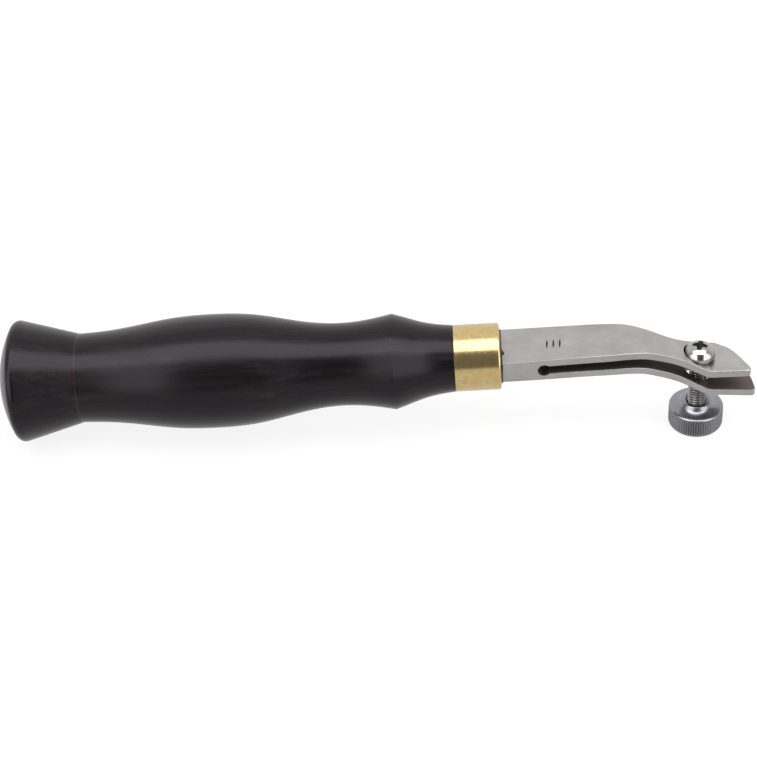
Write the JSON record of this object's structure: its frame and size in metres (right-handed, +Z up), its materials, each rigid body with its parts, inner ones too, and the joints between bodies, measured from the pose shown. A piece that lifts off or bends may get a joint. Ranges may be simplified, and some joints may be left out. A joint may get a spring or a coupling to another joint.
{
  "type": "adjustable edge beveler",
  "caption": "Leatherworking edge tool with a turned wooden handle, brass ferrule and a split steel jaw whose gap is set by a knurled thumb knob on a pan head screw.",
  "frame": {"origin": "middle of the footprint on the surface that the tool rests on, under the middle of its length", "axes": "+Z up, +X along the tool towards the jaw's tip, +Y towards the side that the jaw's tip sweeps away from; the handle's axis rises 3.3 degrees towards +X, because the tool stands on the butt's rim and on the thumb knob"},
  "size_m": [0.1652, 0.0268, 0.0285],
  "materials": {
    "ebony": "hand-rubbed satin polish on turned ebony, near black with faint brown streaks",
    "ferrule_brass": "lathe-turned and polished",
    "black_resin": "black epoxy resin, set glossy",
    "satin_steel": "fine satin finish, ground along the blade",
    "screw_chrome": "bright nickel plating",
    "knob_nickel": "nickel-plated, polished top and straight fine knurl"
  },
  "bodies": {
    "tool_body": {"handle": "ebony", "ferrule": "ferrule_brass", "tang_bed": "black_resin", "blade": "satin_steel"},
    "lower_leaf": {"lower_leaf": "satin_steel"},
    "adjuster": {"adjusting_screw": "screw_chrome", "thumb_knob": "knob_nickel"}
  },
  "joints": [
    {"name": "screw_turn", "type": "hinge", "parent": "tool_body", "child": "adjuster", "pos_m": [0.07029, 0, 0.02188], "axis": [0.0365, 0, -0.9993], "range_deg": [0, 1320]},
    {"name": "leaf_flex", "type": "hinge", "parent": "tool_body", "child": "lower_leaf", "pos_m": [0.03637, 0, 0.01791], "axis": [0, -1, 0], "range_deg": [0, 4.4]}
  ],
  "couplings": [
    {"joint": "leaf_flex", "follows": "screw_turn", "ratio": 0.0033}
  ]
}
